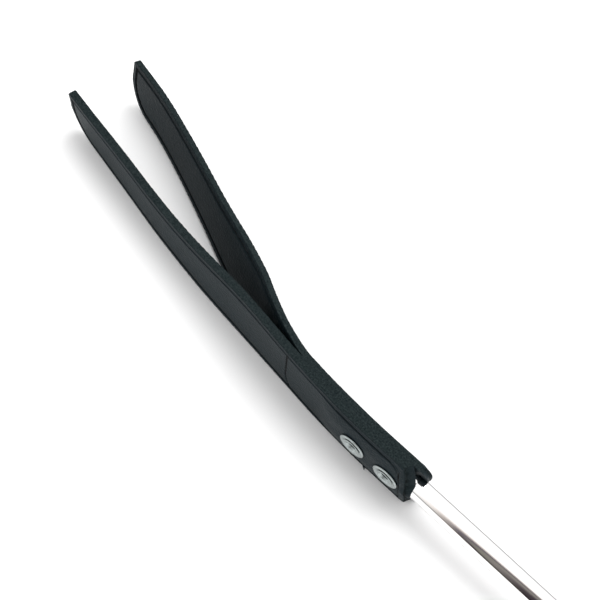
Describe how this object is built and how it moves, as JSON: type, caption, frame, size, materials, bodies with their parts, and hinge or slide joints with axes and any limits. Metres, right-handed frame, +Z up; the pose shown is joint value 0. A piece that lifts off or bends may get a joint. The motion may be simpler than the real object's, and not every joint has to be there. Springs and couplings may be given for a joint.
{
  "type": "two-tongued leather slapper",
  "caption": "Forked black leather slapper: two sprung leather tongues riveted around a polished steel rod, with a padded grip.",
  "frame": {"origin": "middle of the butt cap's flat end, on the rod's axis", "axes": "+X along the rod from the grip to the leather tips, +Z up when it stands on the strips' long edges, +Y towards the near strip"},
  "size_m": [0.441, 0.0586, 0.028],
  "materials": {
    "polished_steel": "mirror polished",
    "strap_leather": "smooth face with a soft sheen, raw fuzzy cut edges, creased border line",
    "nickel": "satin nickel plate",
    "grip_leather": "soft wrapped leather",
    "wood": "plain turned"
  },
  "bodies": {
    "handle": {"rod": "polished_steel", "near_strip_base": "strap_leather", "far_strip_base": "strap_leather", "rivet_front_tube": "nickel", "rivet_front_washer": "nickel", "rivet_rear_tube": "nickel", "rivet_rear_washer": "nickel", "butt_cap": "polished_steel", "rear_collar": "polished_steel", "grip_core": "wood", "grip_sleeve": "grip_leather", "front_ferrule": "polished_steel", "grip_pin": "nickel"},
    "near_flap": {"near_tongue": "strap_leather"},
    "far_flap": {"far_tongue": "strap_leather"}
  },
  "joints": [
    {"name": "near_tongue_flex", "type": "hinge", "parent": "handle", "child": "near_flap", "pos_m": [0.334, -0.0023, 0], "axis": [0, 0, 1], "range_deg": [-5, 28], "stiffness_Nm_per_rad": 0.05},
    {"name": "far_tongue_flex", "type": "hinge", "parent": "handle", "child": "far_flap", "pos_m": [0.3332, -0.0075, 0], "axis": [0, 0, 1], "range_deg": [-28, 5], "stiffness_Nm_per_rad": 0.05}
  ]
}
